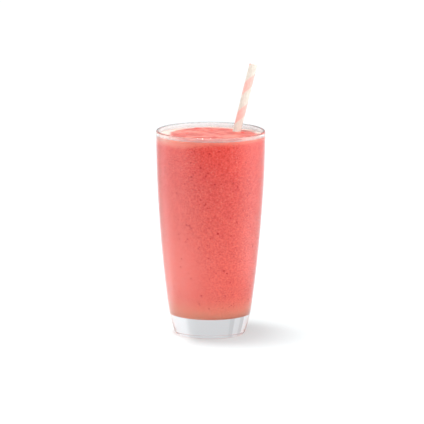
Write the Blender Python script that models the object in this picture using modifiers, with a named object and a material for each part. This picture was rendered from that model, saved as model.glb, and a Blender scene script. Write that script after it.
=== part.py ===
"""Fruit smoothie in a heavy-based glass tumbler, with a paper straw.

Metres, +Z up. The origin is on the axis of the glass, at the surface that it
stands on. The drink is seen from -Y, so +X is to the viewer's right.
"""

import math

import bmesh
import bpy
from mathutils import Vector, noise

MM = 0.001

# Glass: the outside falls in from the rim along a power curve, and turns in more at the heel
GLASS_HEIGHT = 151.0 * MM
RIM_RADIUS = 40.0 * MM
TAPER = 12.2 * MM
TAPER_POWER = 1.9
HEEL_Z = 20.0 * MM
HEEL_DRAW = 2.1 * MM
HEEL_FILLET = 1.4 * MM
FOOT_OUTER_RADIUS = 25.0 * MM
FOOT_INNER_RADIUS = 21.5 * MM
PUNT_DEPTH = 1.2 * MM

# Glass: the wall thickens from the round rim down to the solid base
RIM_WALL = 1.7 * MM
LOW_WALL = 2.6 * MM
WALL_POWER = 1.6
FLOOR_Z = 14.4 * MM
FLOOR_CORNER = 10.0 * MM
AROUND = 48
SIDE_ROWS = 10
CORNER_ROWS = 7
RIM_ROWS = 6
HEEL_ROWS = 6
PUNT_ROWS = 3

# Drink: its lowest level, and how far folds, lumps and the straw raise it
LEVEL_Z = 147.1 * MM
GAP = 0.3 * MM
SURFACE_RINGS = 15
FOLD_HEIGHT = 0.50 * MM
FOLD_PITCH = 19.0 * MM
FOLD_DRIFT = 5.0
FOLD_START = 8.0 * MM
LUMP_HEIGHT = 0.45 * MM
LUMP_PITCH = 8.0 * MM
CLIMB_HEIGHT = 0.45 * MM
CLIMB_RADIUS = 4.5 * MM
CALM_EDGE = 6.0 * MM

# Straw: a paper tube that leans to the right and away, and stands on the floor of the glass
STRAW_RADIUS = 3.0 * MM
STRAW_WALL = 0.45 * MM
STRAW_TOP_Z = 196.4 * MM
STRAW_SIDES = 24
ENTRY = Vector((18.95 * MM, 14.89 * MM, LEVEL_Z))
LEAN = Vector((0.248, 0.19, 1.0)).normalized()


def clear_scene():
    for item in list(bpy.data.objects):
        bpy.data.objects.remove(item, do_unlink=True)


def new_collection(name):
    group = bpy.data.collections.new(name)
    bpy.context.scene.collection.children.link(group)
    return group


def plain_material(name, colour, roughness, transmission=0.0, ior=1.45):
    material = bpy.data.materials.new(name)
    material.use_nodes = True
    shader = material.node_tree.nodes["Principled BSDF"]
    shader.inputs["Base Color"].default_value = (*colour, 1.0)
    shader.inputs["Roughness"].default_value = roughness
    shader.inputs["Metallic"].default_value = 0.0
    shader.inputs["Transmission Weight"].default_value = transmission
    shader.inputs["IOR"].default_value = ior
    return material


def outer_radius(z):
    """Radius of the outside of the glass at height z."""
    taper = TAPER * ((GLASS_HEIGHT - z) / GLASS_HEIGHT) ** TAPER_POWER
    heel = HEEL_DRAW * (max(0.0, HEEL_Z - z) / HEEL_Z) ** 2
    return RIM_RADIUS - taper - heel


def inner_radius(z):
    """Radius of the inside of the glass at height z, above its rounded floor corner."""
    down = (GLASS_HEIGHT - z) / (GLASS_HEIGHT - FLOOR_Z)
    return outer_radius(z) - RIM_WALL - (LOW_WALL - RIM_WALL) * down**WALL_POWER


def inner_slope(z):
    """Angle between the inside of the glass and the vertical at height z."""
    step = 0.1 * MM
    return math.atan2(inner_radius(z + step) - inner_radius(z - step), 2 * step)


def even_steps(start, end, count):
    return [start + (end - start) * i / count for i in range(count + 1)]


def inside_profile(top_z, inset):
    """(r, z) from the floor's centre up the inside of the glass to top_z, drawn in by inset."""
    centre_z = FLOOR_Z + FLOOR_CORNER
    slope = inner_slope(centre_z)
    start_z = centre_z - FLOOR_CORNER * math.sin(slope)
    centre_r = inner_radius(start_z) - FLOOR_CORNER * math.cos(slope)
    reach = FLOOR_CORNER - inset
    points = [(0.0, FLOOR_Z + inset)]
    for angle in even_steps(math.pi / 2, slope, CORNER_ROWS):
        points.append((centre_r + reach * math.cos(angle), centre_z - reach * math.sin(angle)))
    for z in even_steps(start_z, top_z, SIDE_ROWS)[1:]:
        points.append((inner_radius(z) - inset, z))
    return points


def rim_profile():
    """(r, z) over the round rim, from its inner side to its outer side."""
    half = RIM_WALL / 2
    centre_r = RIM_RADIUS - half
    centre_z = GLASS_HEIGHT - half
    turn = even_steps(math.pi, 0.0, RIM_ROWS)
    return [(centre_r + half * math.cos(a), centre_z + half * math.sin(a)) for a in turn]


def outside_profile():
    """(r, z) down the outside of the glass, round its heel and in along the underside to the axis."""
    side = even_steps(GLASS_HEIGHT - RIM_WALL / 2, HEEL_Z, SIDE_ROWS)[1:]
    heel = even_steps(HEEL_Z, HEEL_FILLET, HEEL_ROWS)[1:]
    points = [(outer_radius(z), z) for z in side + heel]
    fillet_r = points[-1][0]
    for angle in even_steps(0.0, math.pi / 2, 3)[1:]:
        r = fillet_r - (fillet_r - FOOT_OUTER_RADIUS) * (1 - math.cos(angle))
        points.append((r, HEEL_FILLET * (1 - math.sin(angle))))
    for share in even_steps(1.0, 0.0, PUNT_ROWS):
        points.append((FOOT_INNER_RADIUS * share, PUNT_DEPTH * (1 - share**2)))
    return points


def turned_object(name, profile, group):
    """A solid of revolution about Z, from a profile that starts and ends on the axis."""
    mesh = bpy.data.meshes.new(name)
    edges = [(i, i + 1) for i in range(len(profile) - 1)]
    mesh.from_pydata([(r, 0.0, z) for r, z in profile], edges, [])
    turned = bpy.data.objects.new(name, mesh)
    group.objects.link(turned)
    screw = turned.modifiers.new("turn", "SCREW")
    screw.steps = AROUND
    screw.render_steps = AROUND
    screw.use_merge_vertices = True
    screw.merge_threshold = 0.00005
    screw.use_smooth_shade = True
    return turned


def make_glass(group):
    wall_top = GLASS_HEIGHT - RIM_WALL / 2
    profile = inside_profile(wall_top, 0.0)[:-1] + rim_profile() + outside_profile()
    glass = turned_object("glass", profile, group)
    glass.data.materials.append(plain_material("clear glass", (0.95, 0.97, 0.98), 0.02, 1.0, 1.5))
    return glass


def surface_relief(x, y):
    """Height of the surface above its lowest level: folds that wind in, lumps, and a rise at the straw."""
    radius = math.hypot(x, y)
    here = Vector((x, y, 0.0))
    edge = inner_radius(LEVEL_Z) - GAP
    calm = min(1.0, max(0.0, (edge - radius) / CALM_EDGE))
    calm = calm * calm * (3 - 2 * calm)
    drift = FOLD_DRIFT * noise.noise(here / FOLD_PITCH)
    wound = math.atan2(y, x) + 2 * math.pi * radius / FOLD_PITCH + drift
    fold = FOLD_HEIGHT * (0.5 + 0.5 * math.sin(wound) * min(1.0, radius / FOLD_START))
    lumps = LUMP_HEIGHT * max(0.0, 0.4 + noise.noise(here / LUMP_PITCH))
    away = math.hypot(x - ENTRY.x, y - ENTRY.y) / CLIMB_RADIUS
    return calm * (fold + lumps) + CLIMB_HEIGHT * math.exp(-(away**2))


def make_straw(group):
    lowest = FLOOR_Z + GAP + STRAW_RADIUS * math.sqrt(1 - LEAN.z**2)
    foot = ENTRY + LEAN * ((lowest - ENTRY.z) / LEAN.z)
    top = ENTRY + LEAN * ((STRAW_TOP_Z - ENTRY.z) / LEAN.z)
    straw = straw_cylinder("straw", STRAW_RADIUS, foot, top, False, group)
    wall = straw.modifiers.new("paper wall", "SOLIDIFY")
    wall.thickness = STRAW_WALL
    wall.offset = -1.0
    straw.data.shade_smooth()
    straw.data.set_sharp_from_angle(angle=math.radians(40))
    straw.data.materials.append(plain_material("straw paper", (0.86, 0.78, 0.68), 0.6))
    return straw


def straw_cylinder(name, radius, low, high, capped, group):
    """A cylinder from low to high, with its facets where the straw has them."""
    mesh = bpy.data.meshes.new(name)
    shape = bmesh.new()
    bmesh.ops.create_cone(
        shape,
        cap_ends=capped,
        segments=STRAW_SIDES,
        radius1=radius,
        radius2=radius,
        depth=(high - low).length,
    )
    shape.to_mesh(mesh)
    shape.free()
    cylinder = bpy.data.objects.new(name, mesh)
    cylinder.location = (low + high) / 2
    cylinder.rotation_mode = "QUATERNION"
    cylinder.rotation_quaternion = LEAN.to_track_quat("Z", "Y")
    group.objects.link(cylinder)
    return cylinder


def make_smoothie(group, cutters):
    """The drink: a turned solid with an uneven top, cut round the straw right down to the floor."""
    side = inside_profile(LEVEL_Z, GAP)
    edge_r = side[-1][0]
    rings = even_steps(edge_r, 0.0, SURFACE_RINGS)[1:]
    # The solid is turned from its top centre outwards and then down its side
    profile = [(r, LEVEL_Z) for r in reversed(rings)] + side[::-1]
    pattern = turned_object("smoothie pattern", profile, group)
    graph = bpy.context.evaluated_depsgraph_get()
    mesh = bpy.data.meshes.new_from_object(pattern.evaluated_get(graph))
    bpy.data.objects.remove(pattern, do_unlink=True)
    for vertex in mesh.vertices:
        if vertex.co.z > LEVEL_Z - 0.01 * MM:
            vertex.co.z += surface_relief(vertex.co.x, vertex.co.y)
    smoothie = bpy.data.objects.new("smoothie", mesh)
    group.objects.link(smoothie)
    past = LEAN * (12 * MM)
    low = ENTRY + LEAN * ((FLOOR_Z - ENTRY.z) / LEAN.z) - past
    way = straw_cylinder("straw way", STRAW_RADIUS + GAP, low, ENTRY + past, True, cutters)
    way.hide_render = True
    way.display_type = "WIRE"
    cut = smoothie.modifiers.new("room for the straw", "BOOLEAN")
    cut.operation = "DIFFERENCE"
    cut.object = way
    mesh.materials.clear()
    mesh.materials.append(plain_material("blended fruit", (0.80, 0.16, 0.12), 0.35))
    return smoothie


def main():
    clear_scene()
    parts = new_collection("smoothie in a glass")
    cutters = new_collection("cutters")
    make_glass(parts)
    make_straw(parts)
    make_smoothie(parts, cutters)


main()
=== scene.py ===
"""Blended fruit drink in a heavy-based tumbler, with a striped paper straw: its looks, in a plain white studio.

Metres, +Z up. The photograph looks along +Y, a little downwards.
"""

import math
import random

import bmesh
import bpy
from mathutils import Matrix, Vector, noise


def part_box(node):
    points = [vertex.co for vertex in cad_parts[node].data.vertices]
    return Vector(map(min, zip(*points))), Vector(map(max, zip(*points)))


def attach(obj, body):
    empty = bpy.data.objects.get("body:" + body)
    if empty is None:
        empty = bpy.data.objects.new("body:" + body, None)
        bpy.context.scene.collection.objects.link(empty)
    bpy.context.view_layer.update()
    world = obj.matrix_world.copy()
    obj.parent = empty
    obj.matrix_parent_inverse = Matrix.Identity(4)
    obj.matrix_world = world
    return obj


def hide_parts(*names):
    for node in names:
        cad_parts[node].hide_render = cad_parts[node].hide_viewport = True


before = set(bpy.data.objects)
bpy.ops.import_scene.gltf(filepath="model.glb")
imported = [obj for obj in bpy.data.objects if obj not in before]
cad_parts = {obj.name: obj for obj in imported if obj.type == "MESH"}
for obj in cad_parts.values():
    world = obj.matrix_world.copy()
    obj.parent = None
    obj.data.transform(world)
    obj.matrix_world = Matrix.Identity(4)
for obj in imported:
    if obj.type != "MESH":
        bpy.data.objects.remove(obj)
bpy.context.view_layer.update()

MM = 0.001

# Glass, as in the frame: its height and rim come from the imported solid, its curves from the same formulas
_, GLASS_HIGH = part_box("glass")
GLASS_HEIGHT = GLASS_HIGH.z
RIM_RADIUS = GLASS_HIGH.x
TAPER = 12.2 * MM
TAPER_POWER = 1.9
HEEL_Z = 20.0 * MM
HEEL_DRAW = 2.1 * MM
HEEL_FILLET = 1.4 * MM
FOOT_OUTER_RADIUS = 25.0 * MM
FOOT_INNER_RADIUS = 21.5 * MM
PUNT_DEPTH = 1.2 * MM
RIM_WALL = 1.7 * MM
LOW_WALL = 2.6 * MM
WALL_POWER = 1.6
FLOOR_Z = 14.4 * MM
FLOOR_CORNER = 10.0 * MM

# Rows and columns of faces in the turned pieces
AROUND = 224
FLOOR_ROWS = 12
CORNER_ROWS = 20
WALL_ROWS = 60
RIM_ROWS = 18
OUTSIDE_ROWS = 80
HEEL_ROWS = 8
PUNT_ROWS = 16
SURFACE_RINGS = 95
SIDE_RINGS = 90

# Drink: its level, and the folds, lumps and rise of its top, as in the frame
LEVEL_Z = 147.1 * MM
CAD_GAP = 0.3 * MM
FOLD_HEIGHT = 0.50 * MM
FOLD_PITCH = 19.0 * MM
FOLD_DRIFT = 5.0
FOLD_START = 8.0 * MM
LUMP_HEIGHT = 0.45 * MM
LUMP_PITCH = 8.0 * MM
CLIMB_HEIGHT = 0.45 * MM
CLIMB_RADIUS = 4.5 * MM
CALM_EDGE = 6.0 * MM

# Drink: how far it reaches into the wall, its pulp as (height, pitch), and how it clings to the glass
INTO_WALL = 0.12 * MM
PULP_RELIEF = ((0.14 * MM, 3.5 * MM), (0.06 * MM, 1.4 * MM))
CLING_FRONT = 0.85 * MM
CLING_BACK = 0.15 * MM
CLING_REACH = 0.5 * MM
EDGE_WANDER = 0.2 * MM
EDGE_PITCH = 7.0 * MM
TOP_DEPTH = 1.6 * MM
TOP_TILT = 0.3

# Straw
STRAW_RADIUS = 3.0 * MM
STRAW_WALL = 0.45 * MM
STRAW_TOP_Z = 196.4 * MM
STRAW_LIP = 0.08 * MM
STRAW_AROUND = 72
STRAW_ROWS = 240
STRAW_INSIDE_ROWS = 60
ENTRY = Vector((18.95 * MM, 14.89 * MM, LEVEL_Z))
LEAN = Vector((0.248, 0.19, 1.0)).normalized()
STRIPE_PITCH = 22.2 * MM
STRIPE_SHARE = 0.44
STRIPE_MIDDLE = 36.3 * MM
STRIPE_SOFTNESS = 0.05
STRIPE_WANDER = 0.012
SEAM_PHASE = 0.93
SEAM_HALF = 0.008

# View: the picture is square, and 312 mm of the object's plane fill its side
CAMERA_DISTANCE = 2.5
CAMERA_ELEVATION = math.radians(10.5)
CAMERA_ROLL = math.radians(0.25)
VIEW_MIDDLE = Vector((1.2 * MM, 0.0, 90.0 * MM))
VIEW_SIDE = 312.0 * MM
SENSOR = 36.0
FAR_CLIP = 50.0

# Surroundings: how bright they are on each side, and the upright bands behind as (where each starts, how bright)
FRONT_WHITE = 2.3
BACK_WHITE = 0.70
BACK_RIGHT = 0.92
BACK_BANDS = ((-0.35, 0.62), (-0.45, 0.77), (-0.60, 0.64), (-0.72, 0.95))
BAND_SOFTNESS = 0.03
LEFT_WHITE = 0.0
RIGHT_WHITE = 1.45
RIGHT_BEHIND = 1.05
TOP_WHITE = 0.5
SKY_TINT = (0.935, 0.968, 1.0, 1.0)

# Surroundings: the stretches of a direction's X, Y or Z over which one side turns into the next
BACK_TO_RIGHT = (0.36, 0.5)
FRONT_TO_BACK = (-0.7, 0.3)
SIDE_TO_BACK = (-0.1, 0.35)
LEFT_TO_MIDDLE = (-0.95, -0.2)
MIDDLE_TO_RIGHT = (0.2, 0.95)
SIDES_TO_TOP = (0.45, 0.95)

# Soft lights, as place, size and watts
KEY_LIGHT = ((-0.14, 0.055, 1.5), (0.25, 0.45), 21.0)
FILL_LIGHT = ((1.1, -0.45, 0.5), (0.8, 0.9), 6.5)
LIGHTS_AIM = Vector((0.0, 0.0, 0.08))

# Floor: its glow rises with the distance from the glass, and it is dim and grey far in front
FLOOR_HALF = 8.0
FLOOR_WHITE = (0.385, 0.41, 0.41, 1.0)
FLOOR_FRONT = (0.20, 0.20, 0.20, 1.0)
FRONT_FADE = (-0.9, -0.35, 0.2, 1.0)
GLOW_NEAR = 0.35
GLOW_PER_METRE = 0.18
GLOW_FAR = 0.7

# Floor: patches that the glass reflects as the pale haze on the drink, each with a strength and the measures that it
# fades over. Seen from the glass, toward is 1 at its right and -1 at its left, and behind is 1 behind and -1 in front
GLOW_PATCHES = (
    (1.15, (
        ("toward", -0.45, 0.15, 1.0, 0.0),
        ("distance", 0.04, 0.14, 0.0, 1.0),
        ("behind", -1.1, -0.35, 0.25, 1.0),
        ("behind", 0.35, 0.8, 1.0, 0.0),
    )),
    (0.35, (
        ("toward", 0.05, 0.55, 1.0, 0.0),
        ("behind", -0.5, -0.1, 1.0, 0.0),
        ("distance", 0.055, 0.1, 0.0, 1.0),
        ("distance", 0.16, 0.3, 1.0, 0.0),
    )),
    (0.30, (("toward", -0.8, -0.2, 1.0, 0.0), ("distance", 0.1, 0.6, 1.0, 0.0))),
)
GLOW_RIGHT = 1.1
GLOW_RIGHT_POWER = 8.0
GLOW_RIGHT_START = (0.09, 0.22)


def colour(red, green, blue):
    """A linear colour with alpha from sRGB values of 0 to 255."""
    def linear(value):
        share = value / 255
        return share / 12.92 if share <= 0.04045 else ((share + 0.055) / 1.055) ** 2.4
    return (linear(red), linear(green), linear(blue), 1.0)


# Body of the drink: two close tones in soft clouds, and larger patches as middle X, Z, half width, half height in mm,
# share and tone: painted shade in the middle and at the right, deepest near the top, and painted light at the upper
# left, for how the studio light falls across the front
PULP = colour(254, 89, 76)
PULP_DEEP = colour(250, 76, 66)
CLOUD_SIZE = 24.0 * MM
CLOUD_RANGE = (0.3, 0.7)
PATCH_CORE = 0.2
LIGHT_AND_SHADE_PATCHES = (
    (0.0, 80.0, 80.0, 64.0, 0.75, colour(226, 90, 82)),
    (15.0, 104.0, 26.0, 58.0, 0.50, colour(228, 62, 52)),
    (17.0, 136.0, 20.0, 26.0, 0.50, colour(255, 80, 60)),
    (-20.0, 120.0, 16.0, 40.0, 0.45, colour(255, 104, 96)),
)

# Grain of the drink, stronger low down, and its spots as spacing, radius and share of the places that have one
PULP_DARK = colour(214, 44, 40)
PULP_PALE = colour(255, 122, 105)
GRAIN_SIZE = 1.15 * MM
GRAIN_RANGE = (0.34, 0.66)
GRAIN_HEIGHTS = (30.0 * MM, 135.0 * MM)
GRAIN_LOW = 0.9
GRAIN_HIGH = 0.5
FLECK_RED = colour(206, 12, 14)
FLECK_SPOTS = (2.0 * MM, 0.6 * MM, 0.65)
FLECK_STRENGTH = 0.85
BUBBLE_PINK = colour(255, 178, 160)
BUBBLE_SPOTS = (1.5 * MM, 0.42 * MM, 0.5)
BUBBLE_STRENGTH = 0.6

# Paler low down; paler still at the left, as a painted reflection of pale haze; and palest on the floor of the glass,
# as painted light for the light that comes in through the thick base
PALER_LOW_HEIGHTS = (30.0 * MM, 140.0 * MM)
PALER_LOW_SHARE = 0.5
PAINTED_HAZE_ACROSS = (-34.0 * MM, 12.0 * MM)
PAINTED_HAZE_LEFT = 0.9
GLASS_FLOOR_PAINTED_LIGHT = colour(255, 168, 134)
GLASS_FLOOR_PAINTED_LIGHT_HEIGHTS = (15.0 * MM, 34.0 * MM)
GLASS_FLOOR_PAINTED_LIGHT_SHARE = 0.6

# Painted light in a band under the drink's edge, where light from its lit top scatters in, thicker at the left, and
# pale foam at its left end
EDGE_LIGHT_PINK = colour(255, 154, 131)
EDGE_LIGHT_LOW = 142.5 * MM
EDGE_LIGHT_SHARE = 0.8
EDGE_LIGHT_PITCH = 5.0 * MM
EDGE_LIGHT_SWING = 2.0 * MM
EDGE_LIGHT_ACROSS = (-28.0 * MM, 2.0 * MM)
EDGE_LIGHT_LEFT = 1.9 * MM
EDGE_LIGHT_RIGHT = -1.2 * MM
FOAM_PINK = colour(224, 199, 189)
END_ACROSS = (-37.0 * MM, -22.0 * MM)
END_HEIGHTS = (143.5 * MM, 148.0 * MM)
END_SHARE = 0.7

# Top of the drink: streaks of two tones, partly real and partly painted shade of the dips between its folds, both
# tones darkened as painted shade against the strong light from above, and foam along the wall, widest at the left and
# thinner in front
TOP_DEEP_SHADED = colour(156, 28, 26)
TOP_PALE_SHADED = colour(206, 116, 103)
TOP_SHARE = 0.8
STREAK_SIZE = 9.0 * MM
STREAK_RANGE = (0.38, 0.62)
FOAM_START = 32.0 * MM
FOAM_FULL = 37.0 * MM
FOAM_SHARE = 0.85
FOAM_PITCH = 11.0 * MM
FOAM_WANDER = 5.0 * MM
FOAM_LEFT = 6.0 * MM
FOAM_ACROSS = (-35.0 * MM, -19.0 * MM)
FOAM_FRONT = (-24.0 * MM, 4.0 * MM, 0.25, 1.0)

# Dark fruit: scattered flecks, the larger ones that the photograph shows as (X, Z, size) in mm, and dark bits that
# lie on the top as (X, Y, length, width) in mm and a turn, partly fruit and partly painted shade of the dips behind
# the top's small ridges and beside the straw's foot
FLECK_TONES = (colour(202, 12, 14), colour(228, 28, 26))
FLECKS = 1500
FLECK_SEED = 7
FLECK_SMALL = 0.16 * MM
FLECK_LARGE = 0.68 * MM
FLECK_THICK = 0.06 * MM
FLECKS_FROM = 9.0 * MM
FLECKS_TO = 4.0 * MM
FLECKS_SHOWN = (
    (5.4, 80.5, 0.85),
    (9.8, 52.3, 0.70),
    (-7.0, 129.4, 0.75),
    (-13.6, 122.3, 0.80),
    (-13.6, 46.0, 0.65),
    (-7.0, 105.7, 0.70),
    (14.2, 102.2, 0.65),
    (3.2, 117.3, 0.75),
    (-4.1, 101.8, 0.60),
    (-3.4, 123.3, 0.70),
    (-1.2, 61.9, 0.60),
    (-7.7, 70.2, 0.50),
    (-7.7, 27.1, 0.55),
    (-1.9, 125.5, 0.65),
)
DARK_BITS_AND_SHADE_ON_TOP = (
    (23.3, 11.0, 1.6, 1.1, 0.3),
    (-9.5, 29.5, 3.0, 0.8, -0.2),
    (0.5, 21.5, 1.6, 0.8, 0.4),
    (-17.0, 6.0, 1.4, 0.6, 0.1),
    (8.0, -12.0, 1.0, 0.5, 1.0),
)
BIT_THICK = 0.3 * MM

# Film on the wall above the drink: tones, how much it hides low and high, and a darker line over the rim, painted
# shade for the grey outline that the glass rim shows
FILM_GREY = colour(188, 194, 192)
FILM_PINK = colour(206, 192, 186)
RIM_PAINTED_GREY = colour(158, 163, 163)
FILM_LOW = 0.45
FILM_HIGH = 0.18
RIM_PAINTED_SHARE = 0.5
FILM_BELOW = 0.5 * MM
FILM_GAPS = (0.02 * MM, 0.05 * MM)
SMEAR_SIZE = 12.0 * MM
SMEAR_RANGE = (0.3, 0.7, 0.75, 1.0)
RIM_LINE = (GLASS_HEIGHT - 0.8 * MM, GLASS_HEIGHT - 0.4 * MM)
RIM_LINE_FRONT = (-32.0 * MM, -8.0 * MM, 0.2, 1.0)

# Paper of the straw: each part has two tones
PAPER_WHITE = (colour(207, 198, 186), colour(197, 187, 174))
PAPER_PINK = (colour(221, 168, 158), colour(215, 158, 147))
FIBRE_TONE = colour(214, 196, 176)
SEAM_TONE = colour(190, 168, 148)


def outer_radius(z):
    """Radius of the outside of the glass at height z."""
    taper = TAPER * ((GLASS_HEIGHT - z) / GLASS_HEIGHT) ** TAPER_POWER
    heel = HEEL_DRAW * (max(0.0, HEEL_Z - z) / HEEL_Z) ** 2
    return RIM_RADIUS - taper - heel


def inner_radius(z):
    """Radius of the inside of the glass at height z, above its rounded floor corner."""
    down = (GLASS_HEIGHT - z) / (GLASS_HEIGHT - FLOOR_Z)
    return outer_radius(z) - RIM_WALL - (LOW_WALL - RIM_WALL) * down**WALL_POWER


def inner_slope(z):
    """Angle between the inside of the glass and the vertical at height z."""
    step = 0.1 * MM
    return math.atan2(inner_radius(z + step) - inner_radius(z - step), 2 * step)


def even_steps(start, end, count):
    return [start + (end - start) * i / count for i in range(count + 1)]


def inside_profile(top_z, inset, side_rows):
    """(r, z) from the floor's centre up the inside of the glass to top_z, drawn in by inset."""
    centre_z = FLOOR_Z + FLOOR_CORNER
    slope = inner_slope(centre_z)
    start_z = centre_z - FLOOR_CORNER * math.sin(slope)
    centre_r = inner_radius(start_z) - FLOOR_CORNER * math.cos(slope)
    reach = FLOOR_CORNER - inset
    points = [(r, FLOOR_Z + inset) for r in even_steps(0.0, centre_r, FLOOR_ROWS)[:-1]]
    for angle in even_steps(math.pi / 2, slope, CORNER_ROWS):
        points.append((centre_r + reach * math.cos(angle), centre_z - reach * math.sin(angle)))
    for z in even_steps(start_z, top_z, side_rows)[1:]:
        points.append((inner_radius(z) - inset, z))
    return points


def glass_profile():
    """(r, z) of the whole glass, from its floor up, over the rim, down, and in along the underside."""
    half = RIM_WALL / 2
    wall_top = GLASS_HEIGHT - half
    points = inside_profile(wall_top, 0.0, WALL_ROWS)[:-1]
    for angle in even_steps(math.pi, 0.0, RIM_ROWS):
        points.append((RIM_RADIUS - half + half * math.cos(angle), wall_top + half * math.sin(angle)))
    for z in even_steps(wall_top, HEEL_FILLET, OUTSIDE_ROWS)[1:]:
        points.append((outer_radius(z), z))
    fillet_r = points[-1][0]
    for angle in even_steps(0.0, math.pi / 2, HEEL_ROWS)[1:]:
        r = fillet_r - (fillet_r - FOOT_OUTER_RADIUS) * (1 - math.cos(angle))
        points.append((r, HEEL_FILLET * (1 - math.sin(angle))))
    for share in even_steps(1.0, 0.0, PUNT_ROWS):
        points.append((FOOT_INNER_RADIUS * share, PUNT_DEPTH * (1 - share**2)))
    return points


def revolve(name, profile, around):
    """A mesh turned about Z from a profile, which closes where it meets the axis."""
    points = []
    rows = []
    for r, z in profile:
        count = 1 if r == 0.0 else around
        rows.append([len(points) + i for i in range(count)])
        for i in range(count):
            angle = 2 * math.pi * i / around
            points.append((r * math.cos(angle), r * math.sin(angle), z))
    faces = []
    for first, second in zip(rows, rows[1:]):
        for i in range(around):
            a, b = i, (i + 1) % around
            if len(first) == 1:
                faces.append((first[0], second[a], second[b]))
            elif len(second) == 1:
                faces.append((first[a], second[0], first[b]))
            else:
                faces.append((first[a], second[a], second[b], first[b]))
    mesh = bpy.data.meshes.new(name)
    mesh.from_pydata(points, [], faces)
    mesh.validate()
    mesh.shade_smooth()
    return mesh


def new_piece(name, mesh, *materials):
    piece = bpy.data.objects.new(name, mesh)
    bpy.context.scene.collection.objects.link(piece)
    for material in materials:
        mesh.materials.append(material)
    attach(piece, "root")
    return piece


class Shader:
    """A material's node tree, with short ways to add and join its nodes."""

    def __init__(self, name):
        self.material = bpy.data.materials.new(name)
        self.material.use_nodes = True
        self.tree = self.material.node_tree
        self.surface = self.tree.nodes["Principled BSDF"]
        self.place = self.tree.nodes.new("ShaderNodeTexCoord").outputs["Object"]

    def set(self, **values):
        """Fixed values on the surface's own sockets, written with _ for a space."""
        for key, value in values.items():
            self.surface.inputs[key.replace("_", " ")].default_value = value

    def join(self, source, target):
        if isinstance(source, bpy.types.NodeSocket):
            self.tree.links.new(source, target)
        else:
            target.default_value = source

    def noise(self, size, detail=3.0, roughness=0.5):
        """A noise of features about size metres across."""
        node = self.tree.nodes.new("ShaderNodeTexNoise")
        self.join(self.place, node.inputs["Vector"])
        node.inputs["Scale"].default_value = 1 / size
        node.inputs["Detail"].default_value = detail
        node.inputs["Roughness"].default_value = roughness
        return node.outputs["Fac"]

    def cells(self, size):
        """Distance to the nearest of random points about size metres apart, in cells, and a colour for each."""
        node = self.tree.nodes.new("ShaderNodeTexVoronoi")
        self.join(self.place, node.inputs["Vector"])
        node.inputs["Scale"].default_value = 1 / size
        return node.outputs["Distance"], node.outputs["Color"]

    def parts(self, vector):
        node = self.tree.nodes.new("ShaderNodeSeparateXYZ")
        self.join(vector, node.inputs[0])
        return node.outputs

    def vector_math(self, operation, first, second, output):
        node = self.tree.nodes.new("ShaderNodeVectorMath")
        node.operation = operation
        self.join(first, node.inputs[0])
        self.join(second, node.inputs[1])
        return node.outputs[output]

    def math(self, operation, first, second=0.0):
        node = self.tree.nodes.new("ShaderNodeMath")
        node.operation = operation
        self.join(first, node.inputs[0])
        self.join(second, node.inputs[1])
        return node.outputs[0]

    def plus(self, first, second):
        return self.math("ADD", first, second)

    def minus(self, first, second):
        return self.math("SUBTRACT", first, second)

    def times(self, first, second):
        return self.math("MULTIPLY", first, second)

    def over(self, first, second):
        return self.math("DIVIDE", first, second)

    def length(self, first, second):
        """How long the hypotenuse over two sides is."""
        return self.math("SQRT", self.plus(self.times(first, first), self.times(second, second)))

    def spread(self, value, low, high, to_low=0.0, to_high=1.0):
        """The value's stretch from low to high, eased and mapped to to_low..to_high."""
        node = self.tree.nodes.new("ShaderNodeMapRange")
        node.interpolation_type = "SMOOTHSTEP"
        self.join(value, node.inputs["Value"])
        node.inputs["From Min"].default_value = low
        node.inputs["From Max"].default_value = high
        node.inputs["To Min"].default_value = to_low
        node.inputs["To Max"].default_value = to_high
        return node.outputs["Result"]

    def mix(self, share, first, second):
        node = self.tree.nodes.new("ShaderNodeMix")
        node.data_type = "RGBA"
        self.join(share, node.inputs["Factor"])
        self.join(first, node.inputs[6])
        self.join(second, node.inputs[7])
        return node.outputs[2]

    def dots(self, size, radius, share):
        """Soft round spots, one in each of a share of the cells."""
        distance, colour = self.cells(size)
        split = self.tree.nodes.new("ShaderNodeSeparateColor")
        self.join(colour, split.inputs["Color"])
        chosen = self.math("LESS_THAN", split.outputs["Red"], share)
        reach = self.spread(split.outputs["Green"], 0.0, 1.0, 0.6 * radius / size, radius / size)
        spot = self.spread(self.over(distance, reach), 0.55, 1.0, 1.0, 0.0)
        return self.times(chosen, spot)

    def bump(self, height, depth, strength=1.0):
        node = self.tree.nodes.new("ShaderNodeBump")
        self.join(height, node.inputs["Height"])
        node.inputs["Distance"].default_value = depth
        node.inputs["Strength"].default_value = strength
        self.join(node.outputs["Normal"], self.surface.inputs["Normal"])


def glass_material():
    shader = Shader("clear_glass")
    shader.set(Base_Color=(1.0, 1.0, 1.0, 1.0), Roughness=0.0, IOR=1.5, Transmission_Weight=1.0)
    shader.bump(shader.noise(14 * MM, 1.0), 0.02 * MM, 0.25)
    return shader.material


def add_painted_light_and_shade(shader, body, x, z):
    """Large soft patches of other tones on the body of the drink: painted shade and painted light for how the studio
    light falls across its front.
    """
    for middle_x, middle_z, wide, tall, share, tone in LIGHT_AND_SHADE_PATCHES:
        across = shader.over(shader.minus(x, middle_x * MM), wide * MM)
        upward = shader.over(shader.minus(z, middle_z * MM), tall * MM)
        away = shader.length(across, upward)
        body = shader.mix(shader.spread(away, PATCH_CORE, 1.0, share, 0.0), body, tone)
    return body


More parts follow.
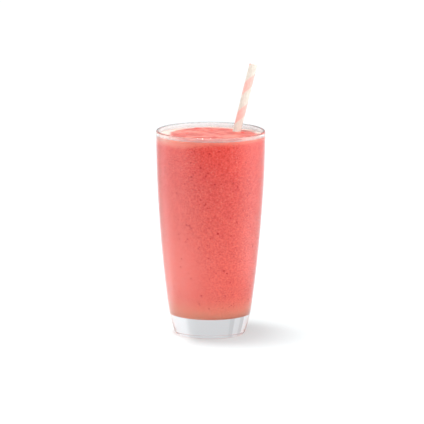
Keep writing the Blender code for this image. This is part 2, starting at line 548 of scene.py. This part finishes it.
def add_foam(shader, body, x, y):
    """Streaks over the top of the drink, partly painted shade, in tones darkened as painted shade, and pale foam
    along the wall.
    """
    radius = shader.length(x, y)
    drift = shader.times(shader.minus(shader.noise(FOAM_PITCH, 2.0), 0.5), FOAM_WANDER)
    # Painted shade: the streaks stand partly for the shade of dips in the top, and both tones are darkened against
    # the overhead light
    streaks_and_shade = shader.spread(shader.noise(STREAK_SIZE, 4.0, 0.6), *STREAK_RANGE)
    body = shader.mix(TOP_SHARE, body, shader.mix(streaks_and_shade, TOP_DEEP_SHADED, TOP_PALE_SHADED))
    drift = shader.plus(drift, shader.spread(x, *FOAM_ACROSS, FOAM_LEFT, 0.0))
    foam = shader.spread(shader.plus(radius, drift), FOAM_START, FOAM_FULL, 0.0, FOAM_SHARE)
    foam = shader.times(foam, shader.spread(y, *FOAM_FRONT))
    return shader.mix(foam, body, FOAM_PINK)


def drink_material(name, roughness, specular, bump_depth, foamy):
    """Coral pink pulp: soft clouds, patches of painted light and shade, a fine grain, dark flecks and pale bubbles,
    paler low down, a painted reflection of haze at the left, and painted light on the floor of the glass and in a
    band below its edge.
    """
    shader = Shader(name)
    x, y, z = shader.parts(shader.place)
    body = shader.mix(shader.spread(shader.noise(CLOUD_SIZE), *CLOUD_RANGE), PULP_DEEP, PULP)
    # Painted shade and painted light across the front of the drink, in placed patches
    body = add_painted_light_and_shade(shader, body, x, z)

    grain = shader.spread(shader.noise(GRAIN_SIZE, 2.0, 0.65), *GRAIN_RANGE)
    strength = shader.spread(z, *GRAIN_HEIGHTS, GRAIN_LOW, GRAIN_HIGH)
    body = shader.mix(grain, shader.mix(strength, body, PULP_DARK), shader.mix(strength, body, PULP_PALE))
    body = shader.mix(shader.times(shader.dots(*FLECK_SPOTS), FLECK_STRENGTH), body, FLECK_RED)
    body = shader.mix(shader.times(shader.dots(*BUBBLE_SPOTS), BUBBLE_STRENGTH), body, BUBBLE_PINK)

    # Paler low down; at the left a painted reflection of pale haze makes it paler still
    paler_low = shader.spread(z, *PALER_LOW_HEIGHTS, PALER_LOW_SHARE, 0.0)
    painted_haze = shader.times(shader.spread(x, *PAINTED_HAZE_ACROSS, 1.0, 0.0), PAINTED_HAZE_LEFT)
    body = shader.mix(shader.times(paler_low, shader.plus(painted_haze, 1.0)), body, PULP_PALE)
    # Painted light on the floor of the glass, for the light that comes in through its thick base
    body = shader.mix(shader.spread(z, *GLASS_FLOOR_PAINTED_LIGHT_HEIGHTS, GLASS_FLOOR_PAINTED_LIGHT_SHARE, 0.0), body, GLASS_FLOOR_PAINTED_LIGHT)

    # Painted light: a lighter band just under the drink's edge, where light from the lit top scatters in
    edge_light = shader.times(shader.minus(shader.noise(EDGE_LIGHT_PITCH, 2.0), 0.5), EDGE_LIGHT_SWING)
    edge_light = shader.plus(edge_light, shader.spread(x, *EDGE_LIGHT_ACROSS, EDGE_LIGHT_LEFT, EDGE_LIGHT_RIGHT))
    body = shader.mix(shader.spread(shader.plus(z, edge_light), EDGE_LIGHT_LOW, LEVEL_Z, 0.0, EDGE_LIGHT_SHARE), body, EDGE_LIGHT_PINK)
    end = shader.times(shader.spread(x, *END_ACROSS, END_SHARE, 0.0), shader.spread(z, *END_HEIGHTS))
    body = shader.mix(end, body, FOAM_PINK)
    if foamy:
        body = add_foam(shader, body, x, y)

    shader.join(body, shader.surface.inputs["Base Color"])
    shader.set(
        Roughness=roughness,
        Specular_IOR_Level=specular,
        Subsurface_Weight=0.45,
        Subsurface_Radius=(1.0, 0.36, 0.26),
        Subsurface_Scale=1.6 * MM,
    )
    shader.bump(grain, bump_depth, 0.7)
    return shader.material


def fleck_material():
    # Also used for the dark bits on the top, which are partly painted shade
    shader = Shader("dark_fruit_and_painted_shade")
    grain = shader.noise(0.5 * MM, 2.0)
    shader.join(shader.mix(grain, *FLECK_TONES), shader.surface.inputs["Base Color"])
    shader.set(Roughness=0.5, Specular_IOR_Level=0.15)
    shader.bump(grain, 0.05 * MM)
    return shader.material


def film_material():
    """A thin smear of drink left on the wall: pale, uneven, clearer higher up, and darker over the rim, where painted
    shade stands in for the grey outline of the glass rim.
    """
    shader = Shader("film_of_drink")
    smear = shader.spread(shader.noise(SMEAR_SIZE, 2.0), *SMEAR_RANGE)
    _, y, z = shader.parts(shader.place)
    hides = shader.spread(z, LEVEL_Z, GLASS_HEIGHT - 0.9 * MM, FILM_LOW, FILM_HIGH)
    # Painted shade: a darker line over the back and sides of the rim, for the grey outline that the glass rim shows
    over = shader.times(shader.spread(z, *RIM_LINE), shader.spread(y, *RIM_LINE_FRONT))
    hides = shader.plus(hides, shader.times(over, RIM_PAINTED_SHARE - FILM_HIGH))
    body = shader.mix(over, shader.mix(smear, FILM_GREY, FILM_PINK), RIM_PAINTED_GREY)
    shader.join(body, shader.surface.inputs["Base Color"])
    shader.join(shader.times(smear, hides), shader.surface.inputs["Alpha"])
    shader.set(Roughness=0.4, Specular_IOR_Level=0.3)
    shader.bump(smear, 0.03 * MM, 0.6)
    return shader.material


def straw_material():
    """Wound paper: one pink stripe that climbs to the right, its seam, and the paper's fibres."""
    shader = Shader("striped_paper")
    front = Vector((0.0, -1.0, 0.0))
    front = (front - LEAN * front.dot(LEAN)).normalized()
    right = LEAN.cross(front)
    from_entry = shader.vector_math("SUBTRACT", shader.place, ENTRY, "Vector")

    def along(direction):
        return shader.vector_math("DOT_PRODUCT", from_entry, direction, "Value")

    # The phase runs from 0 to 1 from one winding of the stripe to the next
    turn = shader.over(shader.math("ARCTAN2", along(right), along(front)), 2 * math.pi)
    windings = shader.over(shader.minus(along(LEAN), STRIPE_MIDDLE), STRIPE_PITCH)
    wander = shader.times(shader.minus(shader.noise(1.2 * MM), 0.5), STRIPE_WANDER)
    phase = shader.plus(shader.minus(windings, turn), wander)
    phase = shader.math("FRACT", shader.plus(phase, 0.5))
    from_middle = shader.math("ABSOLUTE", shader.minus(phase, 0.5))
    edge = STRIPE_SHARE / 2
    pink = shader.spread(from_middle, edge - STRIPE_SOFTNESS, edge + STRIPE_SOFTNESS, 1.0, 0.0)

    fibres = shader.noise(0.35 * MM, 4.0, 0.65)
    mottle = shader.spread(shader.noise(2.5 * MM), 0.3, 0.7)
    body = shader.mix(pink, shader.mix(mottle, *PAPER_WHITE), shader.mix(mottle, *PAPER_PINK))
    body = shader.mix(shader.spread(fibres, 0.35, 0.75, 0.0, 0.22), body, FIBRE_TONE)
    seam = shader.spread(shader.math("ABSOLUTE", shader.minus(phase, SEAM_PHASE)), 0.0, SEAM_HALF, 1.0, 0.0)
    body = shader.mix(shader.times(seam, 0.4), body, SEAM_TONE)
    shader.join(body, shader.surface.inputs["Base Color"])
    shader.set(Roughness=0.5, Specular_IOR_Level=0.5, Sheen_Weight=0.5, Sheen_Roughness=0.45)
    shader.bump(shader.minus(shader.times(fibres, 0.3), seam), 0.06 * MM, 0.8)
    return shader.material


def surface_relief(x, y):
    """Height of the drink above its lowest level: folds that wind in, lumps, and a rise at the straw."""
    radius = math.hypot(x, y)
    here = Vector((x, y, 0.0))
    edge = inner_radius(LEVEL_Z) - CAD_GAP
    calm = min(1.0, max(0.0, (edge - radius) / CALM_EDGE))
    calm = calm * calm * (3 - 2 * calm)
    drift = FOLD_DRIFT * noise.noise(here / FOLD_PITCH)
    wound = math.atan2(y, x) + 2 * math.pi * radius / FOLD_PITCH + drift
    fold = FOLD_HEIGHT * (0.5 + 0.5 * math.sin(wound) * min(1.0, radius / FOLD_START))
    lumps = LUMP_HEIGHT * max(0.0, 0.4 + noise.noise(here / LUMP_PITCH))
    away = math.hypot(x - ENTRY.x, y - ENTRY.y) / CLIMB_RADIUS
    return calm * (fold + lumps) + CLIMB_HEIGHT * math.exp(-(away**2))


def fine_relief(x, y):
    """What the surface has between its folds: pulp, and the edge that clings to the glass, most in front."""
    edge = inner_radius(LEVEL_Z)
    gap = max(0.0, edge - math.hypot(x, y))
    here = Vector((x, y, 0.0))
    pulp = sum(height * noise.noise(here / pitch) for height, pitch in PULP_RELIEF)
    front = 0.5 - 0.5 * y / edge
    cling = CLING_BACK + (CLING_FRONT - CLING_BACK) * front
    cling += EDGE_WANDER * noise.noise(here / EDGE_PITCH)
    return pulp + cling * math.exp(-gap / CLING_REACH)


def make_glass():
    glass = new_piece("tumbler", revolve("tumbler", glass_profile(), AROUND), glass_material())
    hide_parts("glass")


def make_drink():
    side = inside_profile(LEVEL_Z, -INTO_WALL, SIDE_RINGS)
    edge_r = side[-1][0]
    # Rings lie closer together towards the wall, where the surface turns up
    rings = [edge_r * math.sin(math.pi / 2 * i / SURFACE_RINGS) for i in range(SURFACE_RINGS)]
    mesh = revolve("drink", [(r, LEVEL_Z) for r in rings] + side[::-1], AROUND)
    top = LEVEL_Z - 0.01 * MM
    for vertex in mesh.vertices:
        if vertex.co.z > top:
            vertex.co.z += surface_relief(vertex.co.x, vertex.co.y) + fine_relief(vertex.co.x, vertex.co.y)
    drink = new_piece(
        "drink",
        mesh,
        drink_material("pulp_in_air", 0.38, 0.5, 0.12 * MM, True),
        drink_material("pulp_at_glass", 0.5, 0.12, 0.04 * MM, False),
    )
    for face in mesh.polygons:
        in_air = face.center.z > LEVEL_Z - TOP_DEPTH and face.normal.z > TOP_TILT
        face.material_index = 0 if in_air else 1
    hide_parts("smoothie")


def make_film():
    """A thin ring on the inside of the glass, from just below the drink's edge up onto the round rim."""
    half = RIM_WALL / 2
    wall_top = GLASS_HEIGHT - half
    heights = even_steps(LEVEL_Z - FILM_BELOW, wall_top, 10)
    turn = even_steps(math.pi, math.pi / 2, 8)[1:]

    def sheet(gap):
        """(r, z) up the wall and over the inner half of the rim, a gap away from the glass."""
        wall = [(inner_radius(z) - gap, z) for z in heights]
        over = [(math.cos(a) * (half + gap), math.sin(a) * (half + gap)) for a in turn]
        return wall + [(RIM_RADIUS - half + r, wall_top + z) for r, z in over]

    near, far = (sheet(gap) for gap in FILM_GAPS)
    film = new_piece("film", revolve("film", near + far[::-1] + near[:1], AROUND), film_material())


def blob_points():
    """Corners and faces of a small round lump, one unit in radius."""
    mesh = bpy.data.meshes.new("lump")
    shape = bmesh.new()
    bmesh.ops.create_icosphere(shape, subdivisions=1, radius=1.0)
    shape.to_mesh(mesh)
    shape.free()
    points = [vertex.co.copy() for vertex in mesh.vertices]
    faces = [tuple(face.vertices) for face in mesh.polygons]
    bpy.data.meshes.remove(mesh)
    return points, faces


def scatter(name, places, material):
    """One piece of lumps. Each place is a matrix that carries a unit lump to where it lies."""
    lump, lump_faces = blob_points()
    points = []
    faces = []
    for place in places:
        start = len(points)
        points += [place @ point for point in lump]
        faces += [tuple(start + i for i in face) for face in lump_faces]
    mesh = bpy.data.meshes.new(name)
    mesh.from_pydata(points, [], faces)
    mesh.shade_smooth()
    return new_piece(name, mesh, material)


def at_wall(angle, z, length, width, spin):
    """A flat fleck against the inside of the glass, at the drink's own surface."""
    r = inner_radius(z) + INTO_WALL
    out = Vector((math.cos(angle), math.sin(angle), -inner_slope(z))).normalized()
    side = Vector((-math.sin(angle), math.cos(angle), 0.0))
    up = out.cross(side)
    turned = side * math.cos(spin) + up * math.sin(spin)
    other = out.cross(turned)
    lump_axes = Matrix((turned * length, other * width, out * FLECK_THICK)).transposed().to_4x4()
    middle = Vector((r * math.cos(angle), r * math.sin(angle), z))
    return Matrix.Translation(middle) @ lump_axes


def on_top(x, y, length, width, spin):
    """A flat bit that lies in the drink's top."""
    z = LEVEL_Z + surface_relief(x, y) + fine_relief(x, y)
    turn = Matrix.Rotation(spin, 4, "Z") @ Matrix.Diagonal((length, width, BIT_THICK, 1.0))
    return Matrix.Translation((x, y, z)) @ turn


def make_flecks():
    """Bits of dark fruit all over the side of the drink, many fine ones and some large ones, and a few dark bits on
    top, partly fruit and partly painted shade of dips in the top.
    """
    draw = random.Random(FLECK_SEED)
    # Dark bits on the top, partly painted shade of its dips and of the straw's foot
    places = [on_top(x * MM, y * MM, long * MM, wide * MM, spin) for x, y, long, wide, spin in DARK_BITS_AND_SHADE_ON_TOP]
    for x, z, size in FLECKS_SHOWN:
        angle = -math.acos(x * MM / inner_radius(z * MM))
        places.append(at_wall(angle, z * MM, 1.2 * size * MM, size * MM, draw.uniform(0, math.pi)))
    for _ in range(FLECKS):
        z = draw.uniform(FLOOR_Z + FLECKS_FROM, LEVEL_Z - FLECKS_TO)
        angle = draw.uniform(0, 2 * math.pi)
        size = FLECK_SMALL + (FLECK_LARGE - FLECK_SMALL) * draw.random() ** 4
        long = size * draw.uniform(1.0, 1.6)
        places.append(at_wall(angle, z, long, size, draw.uniform(0, math.pi)))
    flecks = scatter("fruit_flecks_and_shade_bits", places, fleck_material())


def make_straw():
    """A tube of wound paper, as a closed wall that is open at both ends."""
    foot_z = FLOOR_Z + CAD_GAP + STRAW_RADIUS * math.sqrt(1 - LEAN.z**2)
    foot = ENTRY + LEAN * ((foot_z - ENTRY.z) / LEAN.z)
    top = ENTRY + LEAN * ((STRAW_TOP_Z - ENTRY.z) / LEAN.z)
    length = (top - foot).length
    inner = STRAW_RADIUS - STRAW_WALL
    outline = [(STRAW_RADIUS - STRAW_LIP, length), (STRAW_RADIUS, length - STRAW_LIP)]
    outline += [(STRAW_RADIUS, length * (1 - i / STRAW_ROWS)) for i in range(1, STRAW_ROWS)]
    outline += [(STRAW_RADIUS, STRAW_LIP), (STRAW_RADIUS - STRAW_LIP, 0.0), (inner, 0.0)]
    outline += [(inner, length * i / STRAW_INSIDE_ROWS) for i in range(1, STRAW_INSIDE_ROWS)]
    outline += [(inner, length)]
    points = []
    turn = LEAN.to_track_quat("Z", "Y")
    for r, z in outline:
        for i in range(STRAW_AROUND):
            angle = 2 * math.pi * i / STRAW_AROUND
            points.append(foot + turn @ Vector((r * math.cos(angle), r * math.sin(angle), z)))
    faces = []
    for row in range(len(outline)):
        here = row * STRAW_AROUND
        after = (row + 1) % len(outline) * STRAW_AROUND
        for i in range(STRAW_AROUND):
            j = (i + 1) % STRAW_AROUND
            faces.append((here + i, after + i, after + j, here + j))
    mesh = bpy.data.meshes.new("paper_straw")
    mesh.from_pydata(points, [], faces)
    mesh.shade_smooth()
    mesh.set_sharp_from_angle(angle=math.radians(50))
    straw = new_piece("paper_straw", mesh, straw_material())
    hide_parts("straw")


def floor_material():
    """White that glows more further off, with the patches that the glass reflects."""
    shader = Shader("white_floor")
    x, y, _ = shader.parts(shader.place)
    distance = shader.length(x, y)
    reach = shader.math("MAXIMUM", distance, 1 * MM)
    measures = {"distance": distance, "toward": shader.over(x, reach), "behind": shader.over(y, reach)}

    right = shader.math("POWER", shader.math("MAXIMUM", measures["toward"], 0.0), GLOW_RIGHT_POWER)
    glow = shader.times(right, shader.spread(distance, *GLOW_RIGHT_START, 0.0, GLOW_RIGHT))
    for strength, fades in GLOW_PATCHES:
        patch = strength
        for measure, low, high, to_low, to_high in fades:
            patch = shader.times(patch, shader.spread(measures[measure], low, high, to_low, to_high))
        glow = shader.plus(glow, patch)
    evenly = shader.plus(shader.times(distance, GLOW_PER_METRE), GLOW_NEAR)
    glow = shader.plus(glow, shader.math("MINIMUM", evenly, GLOW_FAR))

    front = shader.spread(y, *FRONT_FADE)
    shader.join(shader.times(glow, front), shader.surface.inputs["Emission Strength"])
    shader.join(shader.mix(front, FLOOR_FRONT, FLOOR_WHITE), shader.surface.inputs["Base Color"])
    shader.set(Roughness=0.7, Specular_IOR_Level=0.0, Emission_Color=(1.0, 1.0, 1.0, 1.0))
    return shader.material


def make_floor():
    mesh = bpy.data.meshes.new("floor")
    half = FLOOR_HALF
    mesh.from_pydata([(-half, -half, 0), (half, -half, 0), (half, half, 0), (-half, half, 0)], [], [(0, 1, 2, 3)])
    mesh.materials.append(floor_material())
    floor = bpy.data.objects.new("floor", mesh)
    floor.location.z = -0.02 * MM
    bpy.context.scene.collection.objects.link(floor)


def soft_light(name, place, size, watts):
    """A rectangular area light that points at the middle of the glass."""
    data = bpy.data.lights.new(name, "AREA")
    data.shape = "RECTANGLE"
    data.size, data.size_y = size
    data.energy = watts
    light = bpy.data.objects.new(name, data)
    light.location = place
    light.rotation_mode = "QUATERNION"
    light.rotation_quaternion = (LIGHTS_AIM - Vector(place)).to_track_quat("-Z", "Y")
    bpy.context.scene.collection.objects.link(light)


def make_studio():
    """Surroundings that are bright in front and at the right, dark at the left front, and greyer behind and above."""
    world = bpy.data.worlds.new("studio")
    bpy.context.scene.world = world
    world.use_nodes = True
    nodes, links = world.node_tree.nodes, world.node_tree.links
    background = nodes["Background"]
    place = nodes.new("ShaderNodeTexCoord")
    split = nodes.new("ShaderNodeSeparateXYZ")
    links.new(place.outputs["Generated"], split.inputs[0])

    def blend(axis, start, end, low, high):
        """Brightness that turns from low to high between two values of a direction's part along an axis."""
        node = nodes.new("ShaderNodeMapRange")
        node.interpolation_type = "SMOOTHSTEP"
        links.new(split.outputs[axis], node.inputs["Value"])
        node.inputs["From Min"].default_value = start
        node.inputs["From Max"].default_value = end
        for socket, value in (("To Min", low), ("To Max", high)):
            if isinstance(value, bpy.types.NodeSocket):
                links.new(value, node.inputs[socket])
            else:
                node.inputs[socket].default_value = value
        return node.outputs["Result"]

    backdrop = blend("X", *BACK_TO_RIGHT, BACK_WHITE, BACK_RIGHT)
    for edge, beyond in BACK_BANDS:
        backdrop = blend("X", edge - BAND_SOFTNESS, edge, beyond, backdrop)
    middle = blend("Y", *FRONT_TO_BACK, FRONT_WHITE, backdrop)
    left = blend("Y", *SIDE_TO_BACK, LEFT_WHITE, backdrop)
    left = blend("X", *LEFT_TO_MIDDLE, left, middle)
    right = blend("Y", *SIDE_TO_BACK, RIGHT_WHITE, RIGHT_BEHIND)
    sides = blend("X", *MIDDLE_TO_RIGHT, left, right)
    links.new(blend("Z", *SIDES_TO_TOP, sides, TOP_WHITE), background.inputs["Strength"])
    background.inputs["Color"].default_value = SKY_TINT
    soft_light("key", *KEY_LIGHT)
    soft_light("fill", *FILL_LIGHT)


def make_camera():
    data = bpy.data.cameras.new("view")
    data.sensor_width = SENSOR
    data.lens = SENSOR * CAMERA_DISTANCE / VIEW_SIDE
    data.clip_end = FAR_CLIP
    camera = bpy.data.objects.new("view", data)
    back = Vector((0.0, -math.cos(CAMERA_ELEVATION), math.sin(CAMERA_ELEVATION)))
    camera.location = VIEW_MIDDLE + back * CAMERA_DISTANCE
    aim = (-back).to_track_quat("-Z", "Y").to_matrix().to_4x4()
    camera.matrix_world = Matrix.Translation(camera.location) @ aim @ Matrix.Rotation(CAMERA_ROLL, 4, "Z")
    bpy.context.scene.collection.objects.link(camera)
    bpy.context.scene.camera = camera


def set_rendering():
    """The plain view transform, and enough bounces for light to pass the glass many times."""
    scene = bpy.context.scene
    scene.view_settings.view_transform = "Standard"
    scene.cycles.max_bounces = 24
    scene.cycles.transmission_bounces = 20
    scene.cycles.glossy_bounces = 8
    scene.cycles.diffuse_bounces = 6


make_camera()
make_studio()
make_floor()
make_glass()
make_drink()
make_film()
make_flecks()
make_straw()
set_rendering()
